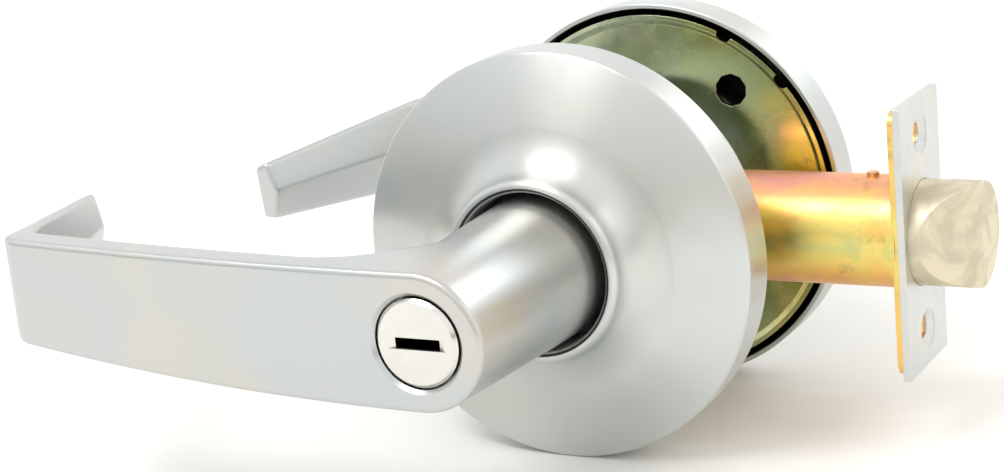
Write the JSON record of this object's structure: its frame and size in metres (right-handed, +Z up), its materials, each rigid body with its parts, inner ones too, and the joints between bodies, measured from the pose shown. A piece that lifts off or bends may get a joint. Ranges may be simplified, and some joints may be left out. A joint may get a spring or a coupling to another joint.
{
  "type": "door lever handle",
  "caption": "Cylindrical privacy lever lockset: two levers with angled returns on round roses, slotted emergency turn, push button and a tubular spring latch with faceplate.",
  "frame": {"origin": "where the spindle axis crosses the latch axis, half way through the door", "axes": "+X along the latch towards the door's edge, +Y along the spindle towards the inside of the door, +Z up"},
  "size_m": [0.2036, 0.1848, 0.088],
  "materials": {
    "satin_chrome": "satin chrome plate, finely brushed",
    "polished_chrome": "polished satin chrome",
    "yellow_dichromate": "zinc plate with iridescent yellow passivation",
    "blackened_steel": "blackened spring-cage steel",
    "clear_zinc": "clear zinc plate",
    "sintered_steel": "oiled sintered steel",
    "satin_nickel": "cast, satin nickel plate",
    "spring_steel": "bright spring wire"
  },
  "bodies": {
    "lockset": {"chassis_frame": "clear_zinc", "outside_hub": "clear_zinc", "inside_hub": "clear_zinc", "outside_rose_plate": "yellow_dichromate", "inside_rose_plate": "yellow_dichromate", "outside_rose": "satin_chrome", "inside_rose": "satin_chrome", "outside_spring_cage": "blackened_steel", "inside_spring_cage": "blackened_steel", "outside_return_spring": "spring_steel", "inside_return_spring": "spring_steel", "retractor_springs": "spring_steel", "latch_tube": "yellow_dichromate", "latch_stop_washer": "clear_zinc", "latch_backing_plate": "yellow_dichromate", "latch_faceplate": "satin_chrome"},
    "outside_lever": {"outside_lever": "satin_chrome", "outside_spindle": "clear_zinc", "outside_lever_catch": "sintered_steel", "outside_driver": "blackened_steel"},
    "turn_button": {"outside_turn_button": "polished_chrome", "turn_button_clip": "spring_steel", "emergency_rod": "sintered_steel"},
    "inside_lever": {"inside_lever": "satin_chrome", "inside_spindle": "clear_zinc", "inside_lever_catch": "sintered_steel", "inside_driver": "blackened_steel", "push_button_spring": "spring_steel"},
    "push_button": {"inside_push_button": "polished_chrome", "locking_rod": "sintered_steel"},
    "retractor": {"retractor": "sintered_steel", "latch_tail": "sintered_steel", "latch_spring": "spring_steel"},
    "latch_bolt": {"latch_bolt": "satin_nickel"}
  },
  "joints": [
    {"name": "outside_lever_turn", "type": "hinge", "parent": "lockset", "child": "outside_lever", "pos_m": [0, 0, 0], "axis": [0, -1, 0], "range_deg": [0, 50], "stiffness_Nm_per_rad": 1.2, "springref_deg": -34.38, "deforming": ["outside_return_spring"]},
    {"name": "inside_lever_turn", "type": "hinge", "parent": "lockset", "child": "inside_lever", "pos_m": [0, 0, 0], "axis": [0, -1, 0], "range_deg": [0, 45], "stiffness_Nm_per_rad": 1.2, "springref_deg": -34.38, "deforming": ["inside_return_spring"]},
    {"name": "retractor_slide", "type": "slide", "parent": "lockset", "child": "retractor", "axis": [-1, 0, 0], "range_m": [0, 0.01272], "stiffness_N_per_m": 200, "springref_m": -0.008, "deforming": ["retractor_springs"]},
    {"name": "bolt_slide", "type": "slide", "parent": "retractor", "child": "latch_bolt", "axis": [-1, 0, 0], "range_m": [0, 0.0127], "stiffness_N_per_m": 300, "springref_m": -0.01, "deforming": ["latch_spring"]},
    {"name": "turn_button_turn", "type": "hinge", "parent": "outside_lever", "child": "turn_button", "pos_m": [0, -0.08, 0], "axis": [0, -1, 0], "range_deg": [0, 90]},
    {"name": "push_button_press", "type": "slide", "parent": "inside_lever", "child": "push_button", "axis": [0, -1, 0], "range_m": [0, 0.0045], "stiffness_N_per_m": 400, "springref_m": -0.004, "deforming": ["push_button_spring"]}
  ],
  "couplings": [
    {"joint": "retractor_slide", "follows": "outside_lever_turn", "m_per_rad": 0.014553}
  ]
}
